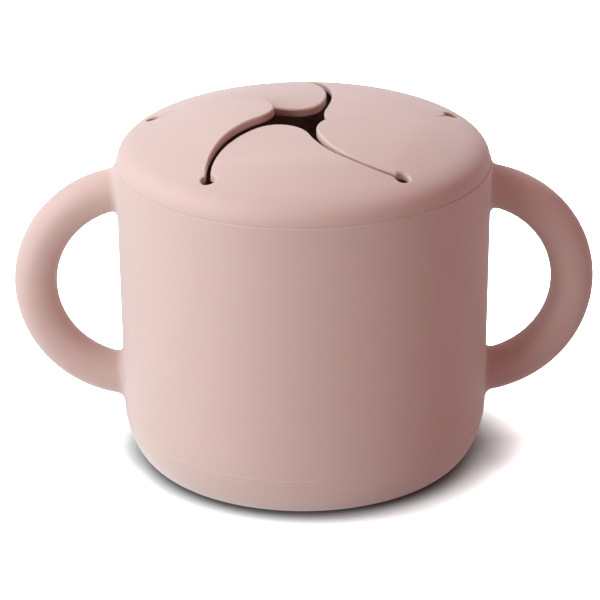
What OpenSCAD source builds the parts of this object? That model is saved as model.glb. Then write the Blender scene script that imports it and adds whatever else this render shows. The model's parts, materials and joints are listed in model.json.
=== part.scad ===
// Toddler snack cup of soft silicone: a round cup with two ring handles and a domed
// lid, whose top is slit into five swirled petals that a small hand pushes aside.
// Millimetres. Origin at the centre of the base, +Z up, handles along X, front at -Y.

/* [Cup] */
// Outer diameter at the lid's seam
body_d = 90; // [75:1:120]
// Outer diameter above the base's rounding
foot_d = 89; // [74:1:120]
// Height of the seam between cup and lid
cup_h = 74.8; // [62:0.2:110]
// Wall thickness of the cup
cup_wall = 3; // [2:0.1:4]
// Thickness of the cup's floor
floor_t = 3.6; // [2:0.1:6]
// Height of the rounding between base and wall
base_round_h = 15; // [8:0.5:20]
// Reach of that rounding in from the wall
base_round_w = 7.3; // [4:0.1:12]

/* [Lid] */
// Height of the crown above the seam, without its swell
crown_h = 10; // [7:0.1:14]
// Extra height that the crown swells to in its middle
crown_swell = 2.5; // [0:0.1:5]
// Thickness of the lid's silicone
lid_t = 2.1; // [1.5:0.1:3]
// Fullness of the crown towards its edge
crown_fullness = 3; // [2.4:0.1:4]
// Flatness of the crown at its middle
crown_flatness = 2.35; // [2:0.05:3]
// Depth of the plug ring below the seam
plug_depth = 7; // [4:0.5:12]
// Thickness of the plug ring
plug_t = 1.9; // [1.2:0.1:3]
// Radial gap between plug ring and cup
plug_clearance = 0.35; // [0.1:0.05:0.6]
// Height of the sealing bead on the plug ring
bead_h = 0.2; // [0:0.05:0.3]
// Width of the sealing bead
bead_w = 1.2; // [0.6:0.1:2]
// Distance of the bead's middle from the plug ring's lower end
bead_pos = 2.6; // [1.5:0.1:3.5]
// Gap between the lid's edge and the cup's rim
seam_gap = 0.1; // [0.05:0.05:0.4]

/* [Petals] */
// Distance of the relief holes from the axis
relief_pos_r = 37.8; // [32:0.2:40]
// Diameter of a relief hole
relief_d = 3.8; // [3:0.1:5]
// Azimuth of the first relief hole
relief_az = 18; // [0:1:71]
// Angle by which a slit swirls on its way to the middle
swirl = 32.5; // [20:0.5:45]
// How late the swirl sets in on the way outward
swirl_power = 1.4; // [1:0.1:2]
// Width of a slit
slit_w = 1.2; // [0.6:0.1:1.6]
// Rounding of a petal's tip
tip_round = 8.2; // [5:0.1:9]
// Height of the hinge lines below the top of the crown without its swell
hinge_drop = 2.9; // [2:0.1:4]
// Radius of the rolled root that bends about the hinge line
root_r = 2.1; // [1.8:0.1:3]
// Gap between a root and the lid
root_clearance = 0.4; // [0.2:0.05:0.6]
// Angle by which the front petal is lifted at rest
lift_front = -3.5; // [-8:0.5:8]
// Angle by which the right petal is lifted at rest
lift_right = -1.5; // [-8:0.5:8]
// Angle by which the back right petal is lifted at rest
lift_back_right = -7; // [-8:0.5:8]
// Angle by which the back left petal is lifted at rest
lift_back_left = -5; // [-8:0.5:8]
// Angle by which the left petal is lifted at rest
lift_left = 3; // [-8:0.5:8]

/* [Handles] */
// Diameter of a handle's round section
grip_d = 10.4; // [8:0.2:14]
// Radius of the ring that the section follows
ring_r = 24.6; // [18:0.2:27]
// How far the ring's centre lies inside the wall
ring_inset = 4.4; // [0:0.2:10]
// Height of the ring's centre
ring_z = 44; // [38:0.5:48]

/* [Hidden] */
$fn = 96;
EPS = 0.01;
PETALS = 5;
STEPS = 20;
CROWN_STEPS = 28;
WELD = 0.1;
ROOT_SHARE = 0.44;
PITCH = 360 / PETALS;
rim_r = body_d / 2;
foot_r = foot_d / 2;
bore_r = rim_r - cup_wall;
lid_z = cup_h + seam_gap;
top_z = cup_h + crown_h;
hinge_z = top_z - hinge_drop;
clear_z = top_z + crown_h;
hinge_c = relief_pos_r * cos(PITCH / 2);
hinge_half = relief_pos_r * sin(PITCH / 2);
plug_r = bore_r - plug_clearance;

// A point at a radius and an azimuth.
function polar(r, az) = [r * cos(az), r * sin(az)];

// Quarter of an ellipse with half axes a and b, from straight below to straight out.
function quarter(a, b) = [for (i = [0:STEPS]) [a * sin(90 * i / STEPS), -b * cos(90 * i / STEPS)]];

// How far the crown swells at radius r.
function swell(r) = crown_swell * pow(max(0, 1 - pow(r / relief_pos_r, 2)), 1.5);

// Crown outline from its edge at radius r0 up to the axis at height h above the seam.
function crown(r0, h) = [for (i = [0:CROWN_STEPS])
    let (a = 90 * i / CROWN_STEPS, r = r0 * pow(cos(a), 2 / crown_fullness))
    [r, h * pow(sin(a), 2 / crown_flatness) + swell(r)]];

// Points moved by a vector.
function moved(points, v) = [for (p = points) p + v];

// Profile of the cup's outside, from the axis at the base to the seam.
function cup_outline() = concat(
    [[0, 0]],
    moved(quarter(base_round_w, base_round_h), [foot_r - base_round_w, base_round_h]),
    [[rim_r, cup_h], [0, cup_h]]);

// Profile of the space inside the cup.
function bore_outline() = concat(
    [[0, floor_t]],
    moved(quarter(base_round_w, base_round_h),
          [foot_r - cup_wall - base_round_w, base_round_h + floor_t]),
    [[bore_r, cup_h + EPS], [0, cup_h + EPS]]);

module cup() {
    color([0.83, 0.66, 0.62])
    difference() {
        rotate_extrude() polygon(cup_outline());
        rotate_extrude() polygon(bore_outline());
    }
}

// A ring handle, cut off where it meets the cup's wall.
module handle(side) {
    color([0.83, 0.66, 0.62])
    difference() {
        translate([side * (rim_r - ring_inset), 0, ring_z]) rotate([90, 0, 0])
            rotate_extrude() translate([ring_r, 0]) circle(d = grip_d);
        rotate_extrude() polygon(cup_outline());
    }
}

// The domed silicone skin of the lid, still without slits.
module crown_shell() {
    translate([0, 0, lid_z]) rotate_extrude() difference() {
        polygon(concat([[0, 0]], crown(rim_r, crown_h - seam_gap)));
        translate([0, -EPS]) polygon(concat([[0, 0]], crown(rim_r - lid_t, crown_h - seam_gap - lid_t)));
    }
}

// The ring below the crown that plugs into the cup, with its sealing bead.
module plug_ring() {
    low_z = cup_h - plug_depth;
    crown_in_z = lid_z + ROOT_SHARE * crown_h - lid_t;
    rotate_extrude() polygon([
        [plug_r - plug_t, low_z],
        [plug_r, low_z],
        [plug_r, low_z + bead_pos - bead_w / 2],
        [plug_r + bead_h, low_z + bead_pos],
        [plug_r, low_z + bead_pos + bead_w / 2],
        [plug_r, lid_z],
        [rim_r - lid_t + WELD, lid_z],
        [plug_r, crown_in_z],
        [plug_r - plug_t, crown_in_z]]);
}

// A round bar along the hinge line of the petal at the given azimuth.
module hinge_bar(az, r, half) {
    rotate(az) translate([hinge_c, 0, hinge_z]) rotate([90, 0, 0])
        cylinder(r = r, h = 2 * half, center = true);
}

// The round relief holes where the slits end.
module relief_holes() {
    for (i = [0:PETALS - 1])
        translate(concat(polar(relief_pos_r, relief_az + i * PITCH), [cup_h]))
            cylinder(d = relief_d, h = 2 * crown_h);
}

module lid_rim() {
    mouth = [for (i = [0:PETALS - 1]) polar(relief_pos_r, relief_az + i * PITCH)];
    color([0.87, 0.75, 0.71])
    difference() {
        union() {
            crown_shell();
            plug_ring();
        }
        translate([0, 0, lid_z]) linear_extrude(2 * crown_h) polygon(mouth);
        for (i = [0:PETALS - 1])
            hinge_bar(relief_az + (i + 0.5) * PITCH, root_r + root_clearance, hinge_half);
        relief_holes();
    }
}

// Azimuth of a slit's middle, measured from its relief hole, at radius r.
function slit_az(r) = -swirl * (1 - pow(r / relief_pos_r, swirl_power));

// Direction in which a slit runs outward at radius r.
function slit_dir(r) = slit_az(r)
    + atan(swirl * PI / 180 * swirl_power * pow(r / relief_pos_r, swirl_power));

// A petal's side at radius r: side is 1 for the slit that it lies clockwise of, else -1.
function side_point(r, side) = polar(r, side * PITCH / 2 + slit_az(r))
    - side * polar(slit_w / 2, side * PITCH / 2 + slit_dir(r) + 90);

// Where the line through p along azimuth a crosses the line through q along azimuth b.
function crossing(p, a, q, b) = let (d = q - p)
    p + (d.x * sin(b) - d.y * cos(b)) / sin(b - a) * [cos(a), sin(a)];

// A petal's side from radius r outward, as far as it lies beyond the end of the tip's arc.
function side_points(r, side, arc_end, az) = [for (i = [1:STEPS])
    let (p = side_point(r + (relief_pos_r - r) * i / STEPS, side))
    if ((p - arc_end) * polar(1, az) > slit_w / 2) p];

// Points in reverse order.
function reversed(points) = [for (i = [len(points) - 1:-1:0]) points[i]];

// A petal's outline in plan, with its hinge line on the +X side.
function petal_outline() =
    let (start_r = tip_round / tan(PITCH / 2),
         a = -PITCH / 2 + slit_dir(start_r),
         b = PITCH / 2 + slit_dir(start_r),
         centre = crossing(side_point(start_r, -1) + polar(tip_round, a + 90), a,
                           side_point(start_r, 1) + polar(tip_round, b - 90), b))
    concat(
        side_points(start_r, -1, centre + polar(tip_round, a - 90), a),
        reversed(side_points(start_r, 1, centre + polar(tip_round, b + 90), b)),
        [for (i = [0:STEPS])
            centre + polar(tip_round, b + 90 + (a - b + 180) * i / STEPS)]);

// The petal whose hinge line lies at the given azimuth, lifted by an angle at rest.
module petal(az, lift) {
    color([0.87, 0.75, 0.71])
    rotate(az) translate([hinge_c, 0, hinge_z]) rotate([0, lift, 0])
    translate([-hinge_c, 0, -hinge_z]) rotate(-az)
    intersection() {
        crown_shell();
        union() {
            difference() {
                rotate(az) intersection() {
                    translate([0, 0, cup_h]) linear_extrude(2 * crown_h) polygon(petal_outline());
                    translate([-hinge_c, -body_d / 2, 0]) cube([2 * hinge_c, body_d, clear_z]);
                }
                relief_holes();
            }
            intersection() {
                hinge_bar(az, root_r, hinge_half - relief_d / 2 - root_clearance);
                rotate(az) translate([hinge_c - EPS, -body_d / 2, 0]) cube([rim_r, body_d, clear_z]);
            }
        }
    }
}

cup();
handle(-1);  // handle_left
handle(1);  // handle_right
lid_rim();
petal(relief_az + 3.5 * PITCH, lift_front);  // petal_front
petal(relief_az + 4.5 * PITCH, lift_right);  // petal_right
petal(relief_az + 0.5 * PITCH, lift_back_right);  // petal_back_right
petal(relief_az + 1.5 * PITCH, lift_back_left);  // petal_back_left
petal(relief_az + 2.5 * PITCH, lift_left);  // petal_left
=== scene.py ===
"""Toddler snack cup of soft silicone: cup with two ring handles and a lid with swirled petals.

Lengths are metres. The cup stands on the origin, +Z up, with its handles along X.
"""

import json
import math

import bmesh
import bpy
import numpy as np
from bpy.props import FloatProperty, FloatVectorProperty, PointerProperty
from mathutils import Matrix, Vector


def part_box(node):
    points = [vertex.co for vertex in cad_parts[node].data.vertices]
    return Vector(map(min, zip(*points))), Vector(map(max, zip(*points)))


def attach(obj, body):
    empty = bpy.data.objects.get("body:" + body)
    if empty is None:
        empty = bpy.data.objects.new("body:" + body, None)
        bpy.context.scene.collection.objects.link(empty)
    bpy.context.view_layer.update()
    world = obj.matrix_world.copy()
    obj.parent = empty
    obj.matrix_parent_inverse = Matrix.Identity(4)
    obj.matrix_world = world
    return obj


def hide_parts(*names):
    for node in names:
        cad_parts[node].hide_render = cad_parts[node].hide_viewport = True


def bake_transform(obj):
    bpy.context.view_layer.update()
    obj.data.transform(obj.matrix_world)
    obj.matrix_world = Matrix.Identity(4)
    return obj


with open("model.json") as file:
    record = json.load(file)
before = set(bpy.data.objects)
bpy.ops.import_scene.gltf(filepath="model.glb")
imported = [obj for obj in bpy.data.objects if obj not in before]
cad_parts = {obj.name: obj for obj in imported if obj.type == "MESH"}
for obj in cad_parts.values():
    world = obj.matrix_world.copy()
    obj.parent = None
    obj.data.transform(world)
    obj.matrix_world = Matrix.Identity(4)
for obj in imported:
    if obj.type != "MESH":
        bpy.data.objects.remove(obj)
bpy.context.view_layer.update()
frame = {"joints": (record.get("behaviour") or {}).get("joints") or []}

bl_info = {
    "name": "Toddler snack cup",
    "version": (1, 0, 0),
    "blender": (4, 5, 0),
    "location": "View3D > Sidebar > Snack Cup",
    "description": "Builds a silicone snack cup with ring handles and a petal lid",
    "category": "Add Mesh",
}

PETAL_BODIES = ("petal_front", "petal_right", "petal_back_right", "petal_back_left", "petal_left")
PITCH = 2 * math.pi / len(PETAL_BODIES)
JOINTS = {joint["child"]: joint for joint in frame["joints"]}
CUP_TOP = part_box("cup")[1]
HANDLE_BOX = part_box("handle_right")
AROUND = 512
TUBE_AROUND = 96
TUBE_ALONG = 90
SIDE_STEPS = 1600
SHARP_ANGLE = math.radians(35)


# ---------------------------------------------------------------- sizes and colours


def length(name, description, default):
    """A length property in metres."""
    return FloatProperty(name=name, description=description, default=default, precision=5, unit="LENGTH")


def angle(name, description, degrees):
    """An angle property, given here in degrees."""
    return FloatProperty(name=name, description=description, default=math.radians(degrees), unit="ROTATION")


def colour(name, description, default):
    """A linear colour property."""
    return FloatVectorProperty(
        name=name, description=description, default=default, subtype="COLOR", min=0, max=1)


class CupSizes(bpy.types.PropertyGroup):
    """Sizes of the cup moulding."""

    rim_r: length("Rim radius", "Outer radius at the lid's seam", CUP_TOP.x)
    height: length("Height", "Height of the seam", CUP_TOP.z)
    foot_r: length("Foot radius", "Outer radius above the base's rounding", 0.0445)
    wall: length("Wall", "Thickness of the wall", 0.003)
    floor: length("Floor", "Thickness of the floor", 0.0036)
    round_h: length("Rounding height", "Height of the base's rounding", 0.015)
    round_w: length("Rounding width", "Reach of the base's rounding", 0.0073)
    rim_round: length("Rim rounding", "Edge radius of the rim", 0.00027)
    parting_z: length("Parting line", "Height of the mould's parting line", 0.0107)
    parting_rise: length("Parting rise", "How far the parting line stands out", 0.00008)
    recess: length("Recess", "Depth of the recess under the base", 0.0006)
    recess_r: length("Recess radius", "Radius of the recess under the base", 0.0325)


class HandleSizes(bpy.types.PropertyGroup):
    """Sizes of the ring handles."""

    grip_r: length("Grip radius", "Radius of a handle's round section", HANDLE_BOX[1].y)
    ring_r: length("Ring radius", "Radius of the circle that the section follows", 0.0246)
    ring_z: length("Ring height", "Height of the ring's centre", 0.0437)
    fillet: length("Fillet", "Reach of the fillet where a handle meets the wall", 0.0021)


class LidSizes(bpy.types.PropertyGroup):
    """Sizes of the lid moulding."""

    base_z: length("Base height", "Height at which the crown starts", CUP_TOP.z + 0.0001)
    seat_z: length("Seat height", "Height of the lid's lower edge", CUP_TOP.z + 0.00001)
    crown_h: length("Crown", "Height of the crown above its start", 0.0099)
    fullness: FloatProperty(name="Fullness", description="Fullness of the crown's edge", default=3.0)
    flatness: FloatProperty(name="Flatness", description="Flatness of the crown's middle", default=2.35)
    swell: length("Swell", "Extra height of the crown's middle", 0.0025)
    skin: length("Skin", "Thickness of the silicone", 0.0021)
    seam_step: length("Seam step", "How far the lid's edge stands back from the cup's", 0.00027)
    seam_round: length("Seam rounding", "Radius of the lid's lower edge", 0.00006)
    plug_gap: length("Plug gap", "Gap between plug ring and cup", 0.00035)
    plug_skin: length("Plug skin", "Thickness of the plug ring", 0.0019)
    plug_depth: length("Plug depth", "Depth of the plug ring below the seam", 0.007)
    bead: length("Bead", "Height of the sealing bead", 0.0002)
    part_r: length("Inner radius", "Radius at which the petal pieces take over", 0.0406)


class PetalSizes(bpy.types.PropertyGroup):
    """Sizes of the petals and how each one lies at rest."""

    relief_r: length("Relief radius", "Distance of the relief holes from the axis", 0.0378)
    hole_r: length("Hole radius", "Radius of a relief hole", 0.0017)
    swirl: angle("Swirl", "Angle by which a slit swirls towards the middle", 32.4)
    swirl_power: FloatProperty(name="Swirl power", description="How late the swirl sets in", default=1.44)
    tip_round: length("Tip rounding", "Radius of a petal's tip", 0.0083)
    flare: length("Flare", "How far a petal's clockwise side draws back at its tip", 0.0009)
    flare_r: length("Flare radius", "Distance from the axis at which that side starts to draw back", 0.021)
    edge_round: length("Edge rounding", "Radius of a petal's upper edge", 0.00055)
    under_round: length("Under rounding", "Radius of a petal's lower edge", 0.0003)
    bend_reach: length("Bend reach", "Length over which a petal bends at its hinge line", 0.009)
    curl_reach: length("Curl reach", "Distance from the hinge line at which a curl is reached", 0.03)


class PetalRest(bpy.types.PropertyGroup):
    """How one petal lies at rest, and the slit on its clockwise side."""

    lift: angle("Lift", "Lift of the petal at its hinge line", 0)
    curl: angle("Curl", "Further lift towards the tip", 0)
    slit: length("Slit", "Width of the slit on the petal's clockwise side", 0.0012)


class SiliconeFinish(bpy.types.PropertyGroup):
    """Colour and surface of the silicone."""

    tone: colour("Colour", "Dusty pink of the silicone", (0.605, 0.440, 0.398))
    blush: colour("Blush", "Slightly warmer pink that it varies towards", (0.615, 0.430, 0.386))
    roughness: FloatProperty(name="Roughness", description="Mean roughness", default=0.58, min=0, max=1)
    grain: length("Grain", "Size of the matt grain", 0.00035)


class StageSizes(bpy.types.PropertyGroup):
    """Camera, light and floor of the studio."""

    distance: length("Distance", "Distance of the camera from its target", 0.7317)
    pitch: angle("Pitch", "How far the camera looks down", 23.04)
    turn: angle("Turn", "How far the camera stands off the object's front", -0.66)
    roll: angle("Roll", "Roll of the camera", 0.34)
    focal: FloatProperty(name="Focal length", description="In widths of the frame", default=4.994)
    target_x: length("Target x", "Sideways place of the camera's target", -0.00103)
    target_z: length("Target height", "Height of the camera's target", 0.0383)
    lamp_reach: length("Lamp distance", "Distance of the lamps from the object", 1.2)
    lamp_size: length("Lamp size", "Width of each round lamp", 0.7)
    lamp_tint: colour("Lamp colour", "Colour of the lamps", (0.8058, 0.9806, 1.0))
    fill: FloatProperty(name="Fill", description="Strength of the light from all round", default=0.31)
    fill_tint: colour("Fill colour", "Colour of the light from all round", (1, 0.27, 0.245))
    floor_half: length("Floor", "Half the floor's width", 3.0)
    floor_tone: colour("Floor colour", "Colour of the floor", (0.66, 0.66, 0.66))
    contact: length("Contact shadow", "How far from the object the floor starts to darken", 0.022)


# Each petal's lift and curl in degrees, and the width of the slit on its clockwise side
RESTS = {
    "petal_front": (-5.4, 4.2, 0.0011),
    "petal_right": (-1.9, 1.4, 0.0013),
    "petal_back_right": (-5.8, -3.2, 0.0003),
    "petal_back_left": (-2.4, -3.2, 0.0016),
    "petal_left": (3.4, -3.2, 0.0004),
}

# Each lamp's azimuth and elevation in degrees, and its power
LAMPS = {
    "key_high": (180, 42, 8.858),
    "key_low": (220, 18, 9.27),
    "top": (0, 86, 1.648),
    "back": (110, 45, 3.296),
}

GROUPS = {
    "cup_sizes": CupSizes,
    "handle_sizes": HandleSizes,
    "lid_sizes": LidSizes,
    "petal_sizes": PetalSizes,
    **{body: PetalRest for body in RESTS},
    "silicone_finish": SiliconeFinish,
    "stage_sizes": StageSizes,
}


# ---------------------------------------------------------------- meshes


def grid_faces(rows, columns, first=0, close_rows=False, close_columns=False):
    """Quads of a rows by columns grid of vertices, numbered row by row from first."""
    index = first + np.arange(rows * columns).reshape(rows, columns)
    if close_rows:
        index = np.vstack([index, index[:1]])
    if close_columns:
        index = np.hstack([index, index[:, :1]])
    corners = [index[:-1, :-1], index[:-1, 1:], index[1:, 1:], index[1:, :-1]]
    return np.stack([corner.ravel() for corner in corners], axis=1)


def end_fans(rows, around):
    """Triangles that close a grid's first and last rows, each to a point numbered after the grid."""
    ring = np.arange(around)
    after = np.roll(ring, -1)
    last = (rows - 1) * around
    return np.vstack([
        np.column_stack([np.full(around, rows * around), ring, after]),
        np.column_stack([np.full(around, rows * around + 1), last + after, last + ring])])


def make_piece(name, points, *faces):
    """A mesh object at the origin from an array of points and one or more arrays of faces."""
    mesh = bpy.data.meshes.new(name)
    mesh.from_pydata(points.tolist(), [], [face for group in faces for face in group.tolist()])
    mesh.update()
    piece = bpy.data.objects.new(name, mesh)
    bpy.context.scene.collection.objects.link(piece)
    return piece


def finish_piece(piece, node):
    """Smooths a piece, gives it the silicone, and hides the CAD part that it stands in for."""
    smooth_outward(piece)
    piece.data.materials.append(shared_silicone())
    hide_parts(node)


def smooth_outward(piece):
    """Merges doubled points, turns the faces outwards and shades smooth between sharp edges."""
    doubled, sliver = 1e-7, 1e-8
    work = bmesh.new()
    work.from_mesh(piece.data)
    bmesh.ops.remove_doubles(work, verts=work.verts, dist=doubled)
    bmesh.ops.dissolve_degenerate(work, edges=work.edges, dist=sliver)
    bmesh.ops.recalc_face_normals(work, faces=work.faces)
    work.to_mesh(piece.data)
    work.free()
    piece.data.shade_smooth()
    piece.data.set_sharp_from_angle(angle=SHARP_ANGLE)


def arc(centre, radius, start, end, count):
    """Points of a circle's arc in the profile plane from one angle to another."""
    turn = np.linspace(start, end, count)
    return np.column_stack([centre[0] + radius * np.cos(turn), centre[1] + radius * np.sin(turn)])


def revolve(name, profile, loop=False):
    """Surface of revolution: each profile point (r, z) goes to (r cos t, r sin t, z).

    A loop profile closes on itself; any other starts and ends on the axis, where fans close it.
    """
    turn = np.linspace(0, 2 * np.pi, AROUND, endpoint=False)
    body = profile if loop else profile[1:-1]
    points = np.stack(
        [np.outer(body[:, 0], np.cos(turn)), np.outer(body[:, 0], np.sin(turn)),
         np.repeat(body[:, 1:2], AROUND, axis=1)], axis=-1).reshape(-1, 3)
    faces = grid_faces(len(body), AROUND, close_rows=loop, close_columns=True)
    if loop:
        return make_piece(name, points, faces)
    points = np.vstack([points, [0, 0, profile[0, 1]], [0, 0, profile[-1, 1]]])
    return make_piece(name, points, faces, end_fans(len(body), AROUND))


def unique_rows(points):
    """The profile's points without neighbours that coincide."""
    same = 1e-8
    step = np.linalg.norm(np.diff(points, axis=0), axis=1)
    return points[np.concatenate([[True], step > same])]


# ---------------------------------------------------------------- cup


def base_rounding(sizes, radius, lift, samples):
    """Quarter ellipse from straight below to straight out, half axes round_w and round_h."""
    return np.column_stack([radius - sizes.round_w + sizes.round_w * np.sin(samples),
                            lift + sizes.round_h - sizes.round_h * np.cos(samples)])


def wall_radius(sizes, z):
    """Outer radius of the cup's wall at height z: a straight cone from foot to rim."""
    share = (z - sizes.round_h) / (sizes.height - sizes.round_h)
    return sizes.foot_r + (sizes.rim_r - sizes.foot_r) * share


def cup_profile(sizes):
    """Profile of the cup: recessed base, rounded foot with a fine parting ridge, wall, rim and inside.

    The ridge stands out by parting_rise exp(-((a - p) / width)^2), a being the rounding's angle.
    """
    lip = sizes.rim_round
    ridge_width, ridge_span = 0.008, 0.03
    round_rows, wall_rows, inside_rows = 40, 24, 16
    parting = math.acos(1 - sizes.parting_z / sizes.round_h)
    samples = np.unique(np.concatenate([
        np.linspace(0, np.pi / 2, round_rows), parting + np.linspace(-ridge_span, ridge_span, 31)]))
    foot = base_rounding(sizes, sizes.foot_r, 0, samples)
    foot[:, 0] += sizes.parting_rise * np.exp(-((samples - parting) / ridge_width) ** 2)
    inner_r = sizes.rim_r - sizes.wall
    step = sizes.recess
    under = np.vstack([
        [[0, step], [sizes.recess_r * 0.5, step]],
        arc((sizes.recess_r - 2 * step, 0), step, np.pi / 2, np.pi / 4, 6),
        [[sizes.recess_r, 0]]])
    wall_z = np.linspace(sizes.round_h, sizes.height - lip, wall_rows)
    wall = np.column_stack([wall_radius(sizes, wall_z), wall_z])
    rim = np.vstack([
        arc((sizes.rim_r - lip, sizes.height - lip), lip, 0, np.pi / 2, 10),
        arc((inner_r + lip, sizes.height - lip), lip, np.pi / 2, np.pi, 10)])
    inner_foot_r = sizes.foot_r - sizes.wall
    inside = np.linspace(
        [inner_r, sizes.height - lip], [inner_foot_r, sizes.round_h + sizes.floor], inside_rows)
    bowl = base_rounding(sizes, inner_foot_r, sizes.floor, np.linspace(np.pi / 2, 0, round_rows))
    middle = np.array([[bowl[-1, 0] * 0.5, sizes.floor], [0, sizes.floor]])
    return unique_rows(np.vstack([under, foot, wall, rim, inside, bowl, middle]))


# ---------------------------------------------------------------- handles


def junction(cup, sizes, centre_x, section, upper):
    """Where each line along the ring tube meets the wall, as the angle round the ring.

    Solves (centre_x + q cos a)^2 + y^2 = wall radius(z)^2 by repeating with z = ring_z + q sin a.
    """
    repeats = 12
    reach = sizes.ring_r + sizes.grip_r * np.cos(section)
    y = sizes.grip_r * np.sin(section)
    turn = np.full_like(section, upper * np.pi / 2)
    for _ in range(repeats):
        radius = wall_radius(cup, sizes.ring_z + reach * np.sin(turn))
        turn = upper * np.arccos((np.sqrt(radius ** 2 - y ** 2) - centre_x) / reach)
    return turn


def ring_points(sizes, centre_x, turn, section):
    """Points of the ring tube at angles turn round the ring and section round the tube."""
    reach = sizes.ring_r + sizes.grip_r * np.cos(section)
    return np.stack([centre_x + reach * np.cos(turn), sizes.grip_r * np.sin(section) + 0 * turn,
                     sizes.ring_z + reach * np.sin(turn)], axis=-1)


def root_fillet(cup, sizes, centre_x, section, upper):
    """Fillet rows from the tube to the wall: a quadratic Bezier curve for each line along the tube.

    It starts one reach up the tube, is drawn to the junction, and ends one reach out on the wall, a
    hair below its surface. The third result is that end again, sunk into the wall.
    """
    hair, sunk, fillet_rows = 4e-6, 0.0012, 13
    meet = junction(cup, sizes, centre_x, section, upper)
    corner = ring_points(sizes, centre_x, meet, section)
    start_turn = meet - upper * sizes.fillet / (sizes.ring_r + sizes.grip_r * np.cos(section))
    start = ring_points(sizes, centre_x, start_turn, section)
    along = np.arctan2(corner[:, 1], corner[:, 0]) * cup.rim_r
    run = np.roll(along, -1) - np.roll(along, 1)
    rise = np.roll(corner[:, 2], -1) - np.roll(corner[:, 2], 1)
    size = np.hypot(run, rise)
    out = np.stack([rise / size, -run / size], axis=-1)
    middle = np.array([along.mean(), corner[:, 2].mean()])
    away = np.sum(out * (np.stack([along, corner[:, 2]], axis=-1) - middle), axis=1)
    out = out * np.sign(away)[:, None]
    end_along = along + sizes.fillet * out[:, 0]
    end_z = corner[:, 2] + sizes.fillet * out[:, 1]

    def in_wall(depth):
        radius = wall_radius(cup, end_z) - depth
        return np.stack([radius * np.cos(end_along / cup.rim_r), radius * np.sin(end_along / cup.rim_r),
                         end_z], axis=-1)

    end = in_wall(hair)
    share = np.linspace(0, 1, fillet_rows)[:, None, None]
    rows = (1 - share) ** 2 * start + 2 * share * (1 - share) * corner + share ** 2 * end
    return start_turn, rows, in_wall(sunk)


def handle_surface(cup, sizes, side):
    """A ring tube from the lower to the upper root, with fillets that run out on the wall."""
    centre_x = HANDLE_BOX[1].x - sizes.ring_r - sizes.grip_r
    section = np.linspace(0, 2 * np.pi, TUBE_AROUND, endpoint=False)
    low_turn, low_rows, low_end = root_fillet(cup, sizes, centre_x, section, -1)
    top_turn, top_rows, top_end = root_fillet(cup, sizes, centre_x, section, 1)
    share = np.linspace(0, 1, TUBE_ALONG)[1:-1, None]
    tube = ring_points(sizes, centre_x, low_turn + share * (top_turn - low_turn), section[None, :])
    rows = np.concatenate([low_end[None], low_rows[::-1], tube, top_rows, top_end[None]])
    points = np.vstack([rows.reshape(-1, 3), low_end.mean(axis=0), top_end.mean(axis=0)])
    points[:, :2] *= side
    faces = grid_faces(len(rows), TUBE_AROUND, close_columns=True)
    return points, faces, end_fans(len(rows), TUBE_AROUND)


# ---------------------------------------------------------------- lid


def skin_height(sizes, petals, radius, depth):
    """Height of the crown at a radius: superellipse plus swell, for the skin at a depth.

    Height is h (1 - (r / R)^n)^(1 / m) + swell (1 - (r / relief)^2)^1.5 above the lid's edge.
    """
    outer = CUP_TOP.x - depth
    share = np.clip(1 - (radius / outer) ** sizes.fullness, 0, None)
    swell = np.clip(1 - (radius / petals.relief_r) ** 2, 0, None) ** 1.5
    return sizes.base_z + (sizes.crown_h - depth) * share ** (1 / sizes.flatness) + sizes.swell * swell


def rim_profile(sizes, petals, wall):
    """Closed profile of the lid outside part_r: crown edge, seam, seat, plug ring with its bead.

    The crown's rows crowd towards its edge, and it draws in by seam_step s^4, where s runs from 0 at
    part_r to 1 at the edge. Its last rows give way to the seam's rounding.
    """
    crown_rows, crowding = 40, 1.6
    bead_up, bead_half = 0.0026, 0.0007
    root_round, tip_round = 0.0003, 0.0006
    ring_top, ring_sunk, skin_sunk = 0.0008, 0.0003, 0.0005
    outer = CUP_TOP.x
    share = 1 - np.cos(np.linspace(0, np.pi / 2, crown_rows)) ** crowding
    radius = sizes.part_r + (outer - sizes.part_r) * share
    top = np.column_stack([radius, skin_height(sizes, petals, radius, 0)])
    top[:, 0] -= sizes.seam_step * share ** 4
    edge = sizes.seam_round
    top = top[top[:, 1] > sizes.base_z + edge * 1.2]
    edge_r = outer - sizes.seam_step
    seam = arc((edge_r - edge, sizes.seat_z + edge), edge, 0, -np.pi / 2, 8)
    plug_out = outer - wall - sizes.plug_gap
    plug_in = plug_out - sizes.plug_skin
    low = CUP_TOP.z - sizes.plug_depth
    bead_turn = np.linspace(-np.pi / 2, np.pi / 2, 15)
    bead_z = low + bead_up + np.linspace(bead_half, -bead_half, len(bead_turn))
    bead = np.column_stack([plug_out + sizes.bead * np.cos(bead_turn), bead_z])
    root = (plug_out + root_round, sizes.seat_z - root_round)
    plug = np.vstack([
        arc(root, root_round, np.pi / 2, np.pi, 6),
        bead,
        arc((plug_out - tip_round, low + tip_round), tip_round, 0, -np.pi / 2, 8),
        arc((plug_in + tip_round, low + tip_round), tip_round, -np.pi / 2, -np.pi, 8)])
    under = skin_height(sizes, petals, np.array([plug_in, sizes.part_r]), sizes.skin)
    joined = np.array([
        [plug_in, under[0] - ring_top], [plug_in, under[0] + ring_sunk],
        [sizes.part_r, under[1] + skin_sunk]])
    return unique_rows(np.vstack([top, seam, plug, joined]))


def slit_azimuth(petals, radius):
    """Azimuth of a slit's middle, measured from its relief hole."""
    return -petals.swirl * (1 - (radius / petals.relief_r) ** petals.swirl_power)


def slit_direction(petals, radius):
    """Azimuth of the direction in which a slit runs outwards at a radius."""
    share = (radius / petals.relief_r) ** petals.swirl_power
    return slit_azimuth(petals, radius) + np.arctan(petals.swirl * petals.swirl_power * share)


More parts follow.
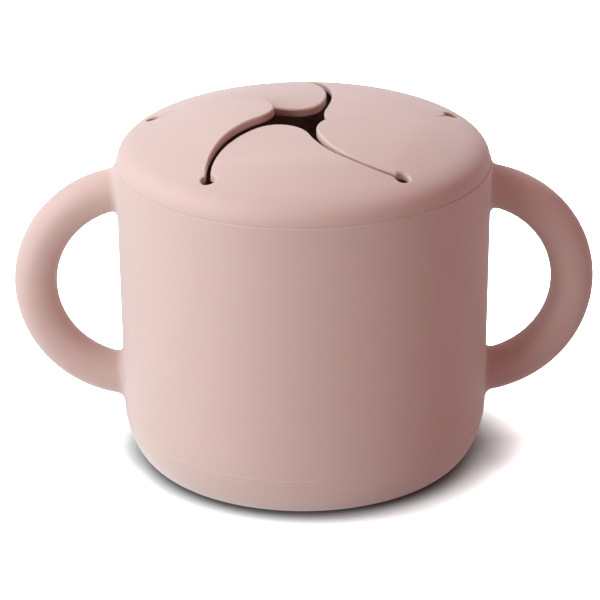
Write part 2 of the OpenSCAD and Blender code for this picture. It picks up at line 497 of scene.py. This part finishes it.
def polar(radius, azimuth):
    """Points (r cos a, r sin a)."""
    return np.stack([radius * np.cos(azimuth), radius * np.sin(azimuth)], axis=-1)


def slit_side(petals, radius, side, slits):
    """Points of the slit's side that belongs to the petal, at the given radii.

    The clockwise side also draws back by flare (1 - r / flare_r)^2 / (1 - tip_round / flare_r)^2.
    """
    at = side * PITCH / 2
    middle = polar(radius, at + slit_azimuth(petals, radius))
    normal = polar(1, at + slit_direction(petals, radius) + np.pi / 2)
    drawn = np.clip((petals.flare_r - radius) / (petals.flare_r - petals.tip_round), 0, 1) ** 2
    inward = slits[side] / 2 + (petals.flare * drawn if side < 0 else 0 * drawn)
    return middle - side * inward[..., None] * normal


def tip_circle(petals, slits):
    """Centre of the tip's rounding, which touches both sides, and how many points each side keeps.

    It is where the two sides, each moved inwards by the rounding's radius, cross.
    """
    moved = []
    for side in (-1, 1):
        line = slit_side(petals, side_radii(petals), side, slits)
        along = np.gradient(line, axis=0)
        along /= np.linalg.norm(along, axis=1)[:, None]
        moved.append(line + side * petals.tip_round * np.column_stack([-along[:, 1], along[:, 0]]))
    gap = np.linalg.norm(moved[0][:, None] - moved[1][None], axis=2)
    first, second = np.unravel_index(np.argmin(gap), gap.shape)
    return (moved[0][first] + moved[1][second]) / 2, {-1: first + 1, 1: second + 1}


def side_radii(petals):
    """Radii at which a slit's side is worked out, from the relief hole inwards."""
    return np.linspace(petals.relief_r, 0.7 * petals.tip_round, SIDE_STEPS)


def side_curve(petals, side, slits, tip):
    """A petal's side in plan from the hinge line to the lowest point of its tip.

    It runs round the relief hole, along the slit and round the tip's circle.
    """
    centre, kept = tip
    hole_steps, tip_steps = 24, 60
    hole = polar(petals.relief_r, side * PITCH / 2)
    slit = slit_side(petals, side_radii(petals), side, slits)[:kept[side]]
    slit = slit[np.linalg.norm(slit - hole, axis=1) > petals.hole_r]
    leave = np.arctan2(*(slit[0] - hole)[::-1])
    begin = -side * np.pi / 2
    sweep = (leave - begin + np.pi) % (2 * np.pi) - np.pi
    round_hole = hole + polar(petals.hole_r, begin + np.linspace(0, sweep, hole_steps))
    land = np.arctan2(*(slit[-1] - centre)[::-1])
    sweep = (2 * np.pi - land) % (2 * np.pi) - np.pi
    round_tip = centre + polar(petals.tip_round, land + np.linspace(0, sweep, tip_steps))
    return np.vstack([round_hole[:-1], slit[:-1], round_tip])


def petal_plan(petals, slits):
    """The petal in plan, hinge line on the +X side: rows of constant x from hinge line to tip.

    The tip's rows lie at turn_in to turn_out round its circle, counted from its lowest point.
    """
    turn_in, turn_out = math.radians(85), math.radians(4)
    hole_rows, middle_rows, tip_rows, columns = 14, 58, 34, 72
    tip = tip_circle(petals, slits)
    centre = tip[0]
    left, right = (side_curve(petals, side, slits, tip) for side in (-1, 1))
    hinge_x = petals.relief_r * math.cos(PITCH / 2)
    round_hole = hinge_x - petals.hole_r * np.sin(np.linspace(0, np.pi / 2, hole_rows))
    round_tip = centre[0] - petals.tip_round * np.cos(np.linspace(turn_in, turn_out, tip_rows))
    between = np.linspace(round_hole[-1], round_tip[0], middle_rows)[1:-1]
    x = np.concatenate([round_hole, between, round_tip])
    x[0] = hinge_x
    y_left = np.interp(-x, -left[:, 0], left[:, 1])
    y_right = np.interp(-x, -right[:, 0], right[:, 1])
    spread = (1 - np.cos(np.linspace(0, np.pi, columns))) / 2
    y = y_left[:, None] + (y_right - y_left)[:, None] * spread
    plan = np.stack([np.repeat(x[:, None], columns, axis=1), y], axis=-1)
    edge = [left[left[:, 0] >= x[-1]], right[right[:, 0] >= x[-1]]]
    return plan, edge


def collar_plan(petals, lid, hinge_row):
    """The fixed collar in plan, between hinge line and lid rim, with half of each relief hole."""
    half, fan_reach = PITCH / 2, math.radians(6.5)
    hole_rows, crowding, rows = 26, 1.5, 22
    share = np.linspace(0, 1, hole_rows) ** crowding
    turn = half - share * (math.pi / 2 + half)
    left, right = (
        polar(petals.relief_r, side * half) + polar(petals.hole_r, side * turn) for side in (-1, 1))
    inner = np.vstack([left[:-1], hinge_row, right[-2::-1]])
    fan = -half + fan_reach * share
    chord = (half - fan_reach) * hinge_row[:, 1] / hinge_row[-1, 1]
    outer = polar(lid.part_r, np.concatenate([fan[:-1], chord, -fan[-2::-1]]))
    spread = ((1 - np.cos(np.linspace(0, np.pi, rows))) / 2)[:, None, None]
    return outer * (1 - spread) + inner * spread, left, right[::-1]


def distance_to(points, line):
    """Shortest distance in plan from each point to a line of points."""
    tiny, block_size = 1e-20, 2000
    start, step = line[:-1], np.diff(line, axis=0)
    size = np.maximum(np.sum(step ** 2, axis=1), tiny)
    flat = points.reshape(-1, 2)
    best = np.full(len(flat), np.inf)
    for block in np.array_split(np.arange(len(flat)), max(1, len(flat) // block_size)):
        away = flat[block, None] - start
        share = np.clip(np.sum(away * step, axis=2) / size, 0, 1)
        gap = np.linalg.norm(away - share[..., None] * step, axis=2)
        best[block] = gap.min(axis=1)
    return best.reshape(points.shape[:-1])


def edge_drop(gap, radius):
    """How far a rounded edge falls at a distance from it: r - sqrt(r^2 - (r - d)^2)."""
    inside = np.clip(radius - gap, 0, radius)
    return radius - np.sqrt(radius ** 2 - inside ** 2)


def rest_bend(points, petals, rest, hinge_z):
    """Turns points about the hinge line by the lift, which sets in smoothly, and the curl.

    The curl grows with the square of the distance from the hinge line.
    """
    hinge_x = petals.relief_r * math.cos(PITCH / 2)
    away = np.clip(hinge_x - points[:, 0], 0, None)
    share = np.clip(away / petals.bend_reach, 0, 1)
    turn = rest.lift * share ** 2 * (3 - 2 * share) + rest.curl * (away / petals.curl_reach) ** 2
    x, z = points[:, 0] - hinge_x, points[:, 2] - hinge_z
    bent = points.copy()
    bent[:, 0] = hinge_x + x * np.cos(turn) + z * np.sin(turn)
    bent[:, 2] = hinge_z - x * np.sin(turn) + z * np.cos(turn)
    return bent


def petal_patches(lid, petals, slits):
    """Grids of points that close one petal piece: both skins and the walls between them."""
    wall_rows = 5
    plan, (left, right) = petal_plan(petals, slits)
    collar, left_hole, right_hole = collar_plan(petals, lid, plan[0])
    tip = plan[-1]
    edges = [np.vstack([left_hole, left]), np.vstack([right_hole[::-1], right]), tip]

    def skins(grid):
        gap = np.minimum.reduce([distance_to(grid, line) for line in edges])
        radius = np.linalg.norm(grid, axis=-1)
        top = skin_height(lid, petals, radius, 0) - edge_drop(gap, petals.edge_round)
        under = skin_height(lid, petals, radius, lid.skin) + edge_drop(gap, petals.under_round)
        return np.dstack([grid, top]), np.dstack([grid, under])

    patches = []
    for grid in (collar, plan):
        patches += skins(grid)
    collar_top, collar_under, top, under = patches
    count = len(left_hole)
    walls = [
        (collar_top[0], collar_under[0]),
        (collar_top[:, 0], collar_under[:, 0]),
        (collar_top[:, -1], collar_under[:, -1]),
        (collar_top[-1, :count], collar_under[-1, :count]),
        (collar_top[-1, -count:], collar_under[-1, -count:]),
        (top[:, 0], under[:, 0]),
        (top[:, -1], under[:, -1]),
        (top[-1], under[-1]),
    ]
    share = np.linspace(0, 1, wall_rows)[:, None, None]
    return patches + [upper * (1 - share) + lower * share for upper, lower in walls]


def join_patches(patches):
    """One array of points and one of quads for several grids."""
    points, faces, first = [], [], 0
    for patch in patches:
        rows, columns = patch.shape[:2]
        points.append(patch.reshape(-1, 3))
        faces.append(grid_faces(rows, columns, first))
        first += rows * columns
    return np.vstack(points), np.vstack(faces)


# ---------------------------------------------------------------- material


class Socket:
    """A shader value that takes Python arithmetic; each operator adds a Math node."""

    def __init__(self, graph, output):
        self.graph = graph
        self.output = output

    def with_other(self, operation, other):
        """A Math node that takes this value and another."""
        return self.graph.node("ShaderNodeMath", {"operation": operation}, {0: self, 1: other})

    def __add__(self, other):
        return self.with_other("ADD", other)

    __radd__ = __add__

    def __mul__(self, other):
        return self.with_other("MULTIPLY", other)

    __rmul__ = __mul__

    def __or__(self, other):
        return self.with_other("MAXIMUM", other)

    __ror__ = __or__


class Graph:
    """The node graph of a material or of the world."""

    def __init__(self, owner):
        owner.use_nodes = True
        self.tree = owner.node_tree
        self.tree.nodes.clear()

    def node(self, kind, settings=None, inputs=None, output=0):
        """Adds a node, sets its settings, then its sockets to values or links."""
        node = self.tree.nodes.new(kind)
        for key, value in (settings or {}).items():
            setattr(node, key, value)
        for key, value in (inputs or {}).items():
            if isinstance(value, Socket):
                self.tree.links.new(value.output, node.inputs[key])
            else:
                node.inputs[key].default_value = value
        return Socket(self, node.outputs[output]) if node.outputs else None


def silicone(finish):
    """Soft-touch silicone: a matt pink that varies faintly, with a very fine grain.

    Sockets 6 and 7 of the Mix node are its two colours, and its output 2 is the mixed one.
    """
    roughness_span = 0.08
    material = bpy.data.materials.new("silicone")
    graph = Graph(material)
    where = graph.node("ShaderNodeTexCoord", output="Object")
    clouds = graph.node("ShaderNodeTexNoise", inputs={"Vector": where, "Scale": 38.0, "Detail": 3.0})
    grain = graph.node("ShaderNodeTexNoise", inputs={
        "Vector": where, "Scale": 1 / finish.grain, "Detail": 2.0, "Roughness": 0.6})
    patches = graph.node("ShaderNodeTexNoise", inputs={"Vector": where, "Scale": 120.0, "Detail": 2.0})
    mixed = graph.node("ShaderNodeMix", {"data_type": "RGBA"}, {
        "Factor": clouds, 6: (*finish.tone, 1), 7: (*finish.blush, 1)}, output=2)
    roughness = finish.roughness - roughness_span / 2 + roughness_span * patches
    bump = graph.node("ShaderNodeBump", inputs={
        "Strength": 0.12, "Distance": 0.00004, "Height": grain})
    surface = graph.node("ShaderNodeBsdfPrincipled", inputs={
        "Base Color": mixed, "Roughness": roughness, "Normal": bump,
        "IOR": 1.45, "Specular IOR Level": 0.4,
        "Subsurface Weight": 0.2, "Subsurface Radius": (1.0, 0.45, 0.35), "Subsurface Scale": 0.002,
        "Sheen Weight": 0.7, "Sheen Roughness": 0.5})
    graph.node("ShaderNodeOutputMaterial", inputs={"Surface": surface})
    return material


def shared_silicone():
    """The one silicone that the cup and the lid are moulded from."""
    found = bpy.data.materials.get("silicone")
    return found or silicone(bpy.context.scene.silicone_finish)


# ---------------------------------------------------------------- operators


class SNACKCUP_OT_cup(bpy.types.Operator):
    """Builds the cup without its handles"""

    bl_idname = "snackcup.cup"
    bl_label = "Cup"

    def execute(self, context):
        piece = revolve("cup_moulding", cup_profile(context.scene.cup_sizes))
        finish_piece(piece, "cup")
        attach(piece, "cup")
        return {"FINISHED"}


class SNACKCUP_OT_handles(bpy.types.Operator):
    """Builds the two ring handles with their fillets"""

    bl_idname = "snackcup.handles"
    bl_label = "Handles"

    def execute(self, context):
        scene = context.scene
        for node, side in (("handle_left", -1), ("handle_right", 1)):
            surface = handle_surface(scene.cup_sizes, scene.handle_sizes, side)
            piece = make_piece(node + "_moulding", *surface)
            finish_piece(piece, node)
            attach(piece, "cup")
        return {"FINISHED"}


class SNACKCUP_OT_lid_rim(bpy.types.Operator):
    """Builds the lid's crown edge, seam and plug ring"""

    bl_idname = "snackcup.lid_rim"
    bl_label = "Lid rim"

    def execute(self, context):
        scene = context.scene
        profile = rim_profile(scene.lid_sizes, scene.petal_sizes, scene.cup_sizes.wall)
        piece = revolve("lid_rim_moulding", profile, loop=True)
        finish_piece(piece, "lid_rim")
        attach(piece, "lid")
        return {"FINISHED"}


class SNACKCUP_OT_petals(bpy.types.Operator):
    """Builds the five petals, each with the collar that it bends from"""

    bl_idname = "snackcup.petals"
    bl_label = "Petals"

    def execute(self, context):
        scene = context.scene
        lid, petals = scene.lid_sizes, scene.petal_sizes
        for body, following in zip(PETAL_BODIES, PETAL_BODIES[1:] + PETAL_BODIES[:1]):
            rest = getattr(scene, body)
            slits = {-1: rest.slit, 1: getattr(scene, following).slit}
            place = Vector(JOINTS[body]["pos_m"])
            azimuth = math.atan2(place.y, place.x)
            points, faces = join_patches(petal_patches(lid, petals, slits))
            bent = rest_bend(points, petals, rest, place.z)
            piece = make_piece(body + "_moulding", bent, faces)
            piece.data.transform(Matrix.Rotation(azimuth, 4, "Z"))
            finish_piece(piece, body)
            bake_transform(piece)
        return {"FINISHED"}


class SNACKCUP_OT_stage(bpy.types.Operator):
    """Sets up the white floor, the soft light and the camera"""

    bl_idname = "snackcup.stage"
    bl_label = "Stage"

    def execute(self, context):
        stage = context.scene.stage_sizes
        make_floor(stage)
        make_world(stage)
        make_lamps(stage)
        make_camera(stage)
        return {"FINISHED"}


# ---------------------------------------------------------------- stage


def ray_kinds(graph):
    """1 for rays from the camera, and 1 for rays that come by way of a reflection or of clear stuff."""
    camera = graph.node("ShaderNodeLightPath", output="Is Camera Ray")
    glossy = graph.node("ShaderNodeLightPath", output="Is Glossy Ray")
    clear = graph.node("ShaderNodeLightPath", output="Is Transmission Ray")
    return camera, glossy | clear


def make_floor(stage):
    """A wide floor with the lamps' shadow and a painted contact shadow, white in reflections.

    The camera sees it brighter, brightening with the cube of the ambient occlusion, which falls to 0
    under the foot. That darkening round the foot is painted shade, and the emission that it scales is
    painted light on the open floor. The tints of both shares even out those of the lamps and the fill,
    so the shadow is grey.
    """
    base_gain, open_gain, glow_gain = 0.15, 5.0, 1.3
    lit_tint, glow_tint = (1.13, 1.07, 1.08), (0.41, 1, 1)
    corners = stage.floor_half * np.array([[-1, -1, 0], [1, -1, 0], [1, 1, 0], [-1, 1, 0]])
    floor = make_piece("floor", corners, np.array([[0, 1, 2, 3]]))
    material = bpy.data.materials.new("white_floor_painted_shadow")
    graph = Graph(material)
    camera, mirrored = ray_kinds(graph)
    # Painted shade: the cube of the ambient occlusion darkens the floor round the foot into a contact
    # shadow.
    near = graph.node(
        "ShaderNodeAmbientOcclusion", {"samples": 24}, {"Distance": stage.contact}, output="AO")
    painted_shadow_mask = near * near * near
    gain = base_gain + open_gain * painted_shadow_mask
    tone = graph.node("ShaderNodeCombineColor", inputs={
        channel: tint * gain for channel, tint in enumerate(lit_tint)})
    matt = graph.node("ShaderNodeBsdfDiffuse", inputs={"Color": (*stage.floor_tone, 1)})
    lit = graph.node("ShaderNodeBsdfDiffuse", inputs={"Color": tone})
    # Painted light: an emission that lights the open floor and fades out round the foot.
    painted_glow = graph.node("ShaderNodeEmission", inputs={
        "Color": (*glow_tint, 1), "Strength": glow_gain * painted_shadow_mask})
    bright = graph.node("ShaderNodeAddShader", inputs={0: lit, 1: painted_glow})
    white = graph.node("ShaderNodeEmission", inputs={"Strength": 1.0})
    seen = graph.node("ShaderNodeMixShader", inputs={"Fac": camera, 1: matt, 2: bright})
    mixed = graph.node("ShaderNodeMixShader", inputs={"Fac": mirrored, 1: seen, 2: white})
    graph.node("ShaderNodeOutputMaterial", inputs={"Surface": mixed})
    floor.data.materials.append(material)


def make_world(stage):
    """White to the camera, in reflections and through clear stuff, and a dim rose fill light."""
    world = bpy.data.worlds.new("studio")
    bpy.context.scene.world = world
    graph = Graph(world)
    camera, mirrored = ray_kinds(graph)
    fill = graph.node("ShaderNodeBackground", inputs={
        "Color": (*stage.fill_tint, 1), "Strength": stage.fill})
    white = graph.node("ShaderNodeBackground", inputs={"Color": (1, 1, 1, 1), "Strength": 1.0})
    mixed = graph.node("ShaderNodeMixShader", inputs={"Fac": camera | mirrored, 1: fill, 2: white})
    graph.node("ShaderNodeOutputWorld", inputs={"Surface": mixed})


def make_lamps(stage):
    """Soft round lamps: two keys from the left, one from above and one from behind."""
    middle = Vector((0, 0, 0.04))
    for name, (azimuth, elevation, power) in LAMPS.items():
        data = bpy.data.lights.new(name, "AREA")
        data.shape = "DISK"
        data.size = stage.lamp_size
        data.energy = power
        data.color = stage.lamp_tint
        lamp = bpy.data.objects.new(name, data)
        swing = Matrix.Rotation(math.radians(azimuth), 3, "Z")
        tilt = Matrix.Rotation(-math.radians(elevation), 3, "Y")
        away = swing @ tilt @ Vector((stage.lamp_reach, 0, 0))
        lamp.location = middle + away
        lamp.rotation_euler = (-away).to_track_quat("-Z", "Y").to_euler()
        bpy.context.scene.collection.objects.link(lamp)


def make_camera(stage):
    """The camera at the photograph's place, looking down at the target with a slight roll."""
    forward = Vector((0, math.cos(stage.pitch), -math.sin(stage.pitch)))
    side = Vector((1, 0, 0))
    down = forward.cross(side)
    right = math.cos(stage.roll) * side + math.sin(stage.roll) * down
    up = math.sin(stage.roll) * side - math.cos(stage.roll) * down
    place = Vector((stage.target_x, 0, stage.target_z)) - stage.distance * forward
    data = bpy.data.cameras.new("camera")
    data.sensor_width = 36.0
    data.lens = stage.focal * data.sensor_width
    camera = bpy.data.objects.new("camera", data)
    axes = Matrix((right, up, -forward)).transposed().to_4x4()
    camera.matrix_world = Matrix.Rotation(stage.turn, 4, "Z") @ Matrix.Translation(place) @ axes
    bpy.context.scene.collection.objects.link(camera)
    bpy.context.scene.camera = camera


class SNACKCUP_PT_panel(bpy.types.Panel):
    """Lists the cup's sizes and the operators that build it"""

    bl_label = "Snack Cup"
    bl_space_type = "VIEW_3D"
    bl_region_type = "UI"
    bl_category = "Snack Cup"

    def draw(self, context):
        for key, group in GROUPS.items():
            box = self.layout.box()
            for prop in group.__annotations__:
                box.prop(getattr(context.scene, key), prop)
        for operator in OPERATORS:
            self.layout.operator(operator.bl_idname)


OPERATORS = (
    SNACKCUP_OT_stage,
    SNACKCUP_OT_cup,
    SNACKCUP_OT_handles,
    SNACKCUP_OT_lid_rim,
    SNACKCUP_OT_petals,
)


def register():
    """Registers the property groups, operators and panel, and sets how each petal rests."""
    for group in set(GROUPS.values()):
        bpy.utils.register_class(group)
    for key, group in GROUPS.items():
        setattr(bpy.types.Scene, key, PointerProperty(type=group))
    for key, values in RESTS.items():
        rest = getattr(bpy.context.scene, key)
        rest.lift, rest.curl, rest.slit = math.radians(values[0]), math.radians(values[1]), values[2]
    for item in (*OPERATORS, SNACKCUP_PT_panel):
        bpy.utils.register_class(item)


def unregister():
    """Removes what register added."""
    for item in (*OPERATORS, SNACKCUP_PT_panel):
        bpy.utils.unregister_class(item)
    for key in GROUPS:
        delattr(bpy.types.Scene, key)
    for group in set(GROUPS.values()):
        bpy.utils.unregister_class(group)


def main():
    """Builds the stage and every piece."""
    register()
    bpy.context.scene.view_settings.view_transform = "Standard"
    for operator in OPERATORS:
        group, name = operator.bl_idname.split(".")
        getattr(getattr(bpy.ops, group), name)()


if __name__ == "__main__":
    main()
